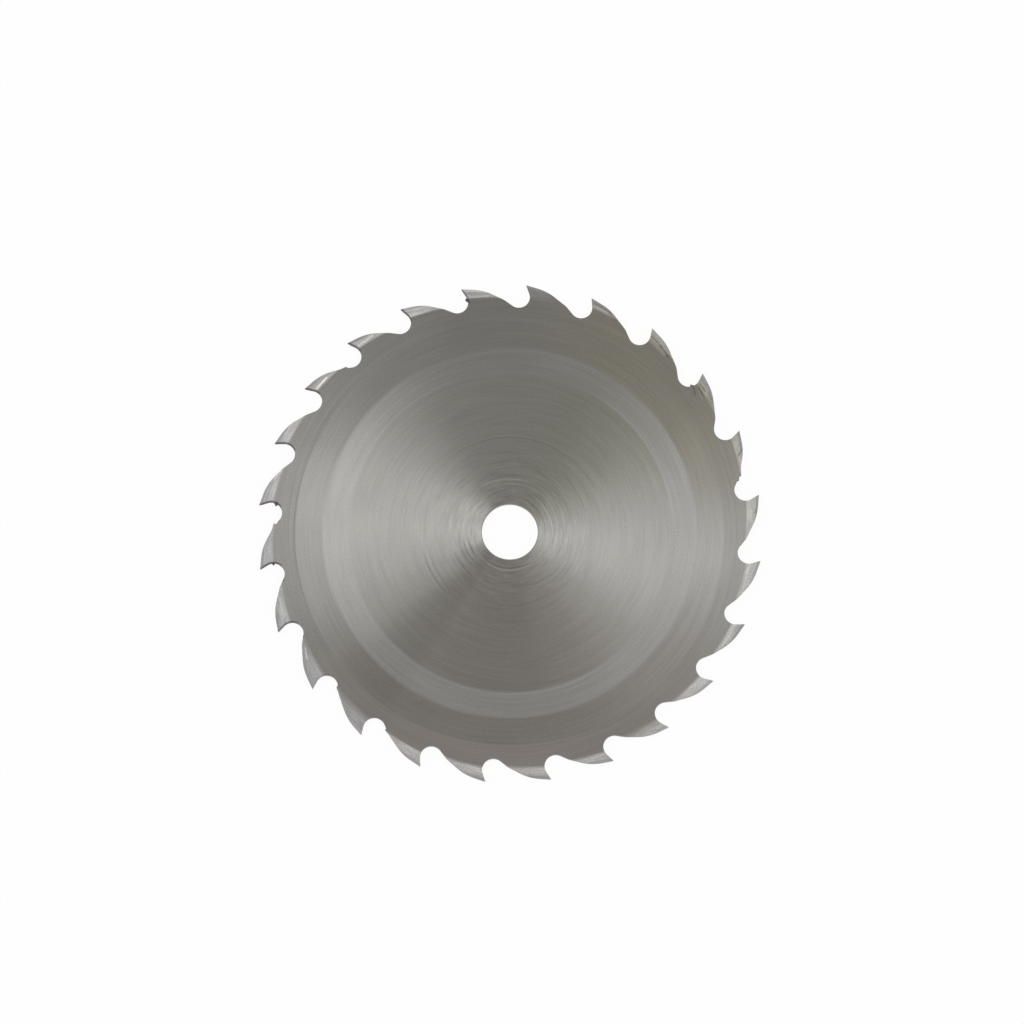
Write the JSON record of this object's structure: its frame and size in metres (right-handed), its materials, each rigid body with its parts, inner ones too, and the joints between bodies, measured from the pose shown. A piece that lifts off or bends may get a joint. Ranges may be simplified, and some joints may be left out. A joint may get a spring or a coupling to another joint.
{
  "type": "circular saw blade",
  "caption": "Round all-steel saw blade, hollow ground, with hooked teeth, round gullets and a plain central bore.",
  "frame": {"origin": "centre of the bore, halfway through the thickness", "axes": "+Z along the arbor, the blade lies in XY, the tip of one tooth is on +X, and seen from +Z the teeth point counter-clockwise"},
  "size_m": [0.18, 0.1799, 0.0024],
  "materials": {
    "ground_steel": "bare steel, face-ground in concentric circles, with brighter side-ground teeth"
  },
  "bodies": {
    "root": {"blade": "ground_steel"}
  },
  "joints": []
}
